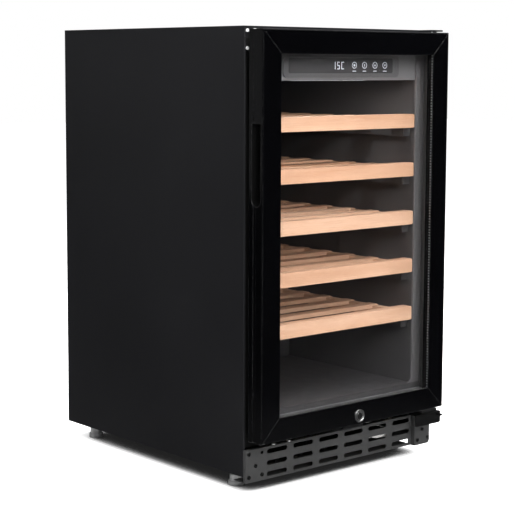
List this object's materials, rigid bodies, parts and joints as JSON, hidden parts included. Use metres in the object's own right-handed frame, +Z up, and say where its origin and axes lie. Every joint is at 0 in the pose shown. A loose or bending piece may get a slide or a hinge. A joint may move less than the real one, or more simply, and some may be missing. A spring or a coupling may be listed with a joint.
{
  "type": "wine cooler",
  "caption": "Free-standing under-counter wine cooler with a glazed hinged door, wooden pull-out shelves, touch controls, a slotted kick grille and levelling feet.",
  "frame": {"origin": "centre of the bounding box's underside, on the floor between the feet", "axes": "+X to the hinge side, the door faces -Y, +Z up"},
  "size_m": [0.465, 0.6, 0.82],
  "materials": {
    "skin": "satin",
    "frame_black": "gloss",
    "glass": "gloss",
    "liner": "satin",
    "black_plastic": "satin",
    "foam": "matte",
    "beech": "satin",
    "steel": "satin",
    "chrome": "polished",
    "rubber": "matte",
    "grey_rubber": "matte",
    "control_glass": "gloss",
    "marks": "gloss",
    "lens": "satin",
    "aluminium": "satin",
    "copper": "satin",
    "foot_grey": "satin"
  },
  "bodies": {
    "cabinet": {"side_panel_left": "skin", "side_panel_right": "skin", "top_panel": "skin", "back_panel": "skin", "base_pan": "skin", "insulation_foam": "foam", "inner_liner": "liner", "front_flange": "liner", "shelf_runners": "liner", "header_panel": "liner", "control_housing": "black_plastic", "control_glass": "control_glass", "display_marks": "marks", "light_lens": "lens", "evaporator_cover": "liner", "evaporator": "aluminium", "cavity_fan_frame": "black_plastic", "compressor": "skin", "compressor_mounts": "rubber", "condenser": "aluminium", "filter_drier": "copper", "condenser_fan_frame": "black_plastic", "drain_tray": "black_plastic", "rear_cover": "skin", "power_inlet": "black_plastic", "electronics_box": "liner", "kick_grille": "skin", "cabinet_screws": "steel", "lower_hinge_bracket": "skin", "hinge_cover": "black_plastic", "top_hinge_bracket": "skin", "lock_strike": "black_plastic"},
    "door": {"door_frame_left": "frame_black", "door_frame_right": "frame_black", "door_frame_top": "frame_black", "door_frame_bottom": "frame_black", "door_glass_outer": "glass", "door_glass_inner": "glass", "glass_spacer": "black_plastic", "door_gasket": "grey_rubber", "grip_insert": "black_plastic", "hinge_bushes": "steel", "lock_body": "chrome"},
    "lock_turn": {"lock_cylinder": "chrome"},
    "cavity_fan": {"cavity_fan_rotor": "black_plastic"},
    "condenser_fan": {"condenser_fan_rotor": "aluminium"},
    "shelf_1": {"shelf_1_trim": "beech", "shelf_1_rack": "beech"},
    "shelf_2": {"shelf_2_trim": "beech", "shelf_2_rack": "beech"},
    "shelf_3": {"shelf_3_trim": "beech", "shelf_3_rack": "beech"},
    "shelf_4": {"shelf_4_trim": "beech", "shelf_4_rack": "beech"},
    "shelf_5": {"shelf_5_trim": "beech", "shelf_5_rack": "beech"},
    "foot_front_left": {"foot_front_left": "foot_grey"},
    "foot_front_right": {"foot_front_right": "foot_grey"},
    "foot_rear_left": {"foot_rear_left": "foot_grey"},
    "foot_rear_right": {"foot_rear_right": "foot_grey"}
  },
  "joints": [
    {"name": "door_hinge", "type": "hinge", "parent": "cabinet", "child": "door", "pos_m": [0.222, -0.271, 0.45], "axis": [0, 0, 1], "range_deg": [0, 110]},
    {"name": "lock_turn", "type": "hinge", "parent": "door", "child": "lock_turn", "pos_m": [0.006, -0.28, 0.114], "axis": [0, 1, 0], "range_deg": [0, 90]},
    {"name": "cavity_fan_spin", "type": "hinge", "parent": "cabinet", "child": "cavity_fan", "pos_m": [0, 0.225, 0.612], "axis": [0, 1, 0], "continuous": true},
    {"name": "condenser_fan_spin", "type": "hinge", "parent": "cabinet", "child": "condenser_fan", "pos_m": [-0.095, 0.183, 0.096], "axis": [0, 1, 0], "continuous": true},
    {"name": "shelf_1_slide", "type": "slide", "parent": "cabinet", "child": "shelf_1", "axis": [0, -1, 0], "range_m": [0, 0.096]},
    {"name": "shelf_2_slide", "type": "slide", "parent": "cabinet", "child": "shelf_2", "axis": [0, -1, 0], "range_m": [0, 0.096]},
    {"name": "shelf_3_slide", "type": "slide", "parent": "cabinet", "child": "shelf_3", "axis": [0, -1, 0], "range_m": [0, 0.096]},
    {"name": "shelf_4_slide", "type": "slide", "parent": "cabinet", "child": "shelf_4", "axis": [0, -1, 0], "range_m": [0, 0.096]},
    {"name": "shelf_5_slide", "type": "slide", "parent": "cabinet", "child": "shelf_5", "axis": [0, -1, 0], "range_m": [0, 0.096]},
    {"name": "foot_front_left_screw", "type": "slide", "parent": "cabinet", "child": "foot_front_left", "axis": [0, 0, -1], "range_m": [0, 0.02]},
    {"name": "foot_front_right_screw", "type": "slide", "parent": "cabinet", "child": "foot_front_right", "axis": [0, 0, -1], "range_m": [0, 0.02]},
    {"name": "foot_rear_left_screw", "type": "slide", "parent": "cabinet", "child": "foot_rear_left", "axis": [0, 0, -1], "range_m": [0, 0.02]},
    {"name": "foot_rear_right_screw", "type": "slide", "parent": "cabinet", "child": "foot_rear_right", "axis": [0, 0, -1], "range_m": [0, 0.02]}
  ],
  "couplings": [
    {"joint": "shelf_1_slide", "follows": "door_hinge", "m_per_rad": 0.05},
    {"joint": "shelf_2_slide", "follows": "door_hinge", "m_per_rad": 0.05},
    {"joint": "shelf_3_slide", "follows": "door_hinge", "m_per_rad": 0.05},
    {"joint": "shelf_4_slide", "follows": "door_hinge", "m_per_rad": 0.05},
    {"joint": "shelf_5_slide", "follows": "door_hinge", "m_per_rad": 0.05}
  ]
}
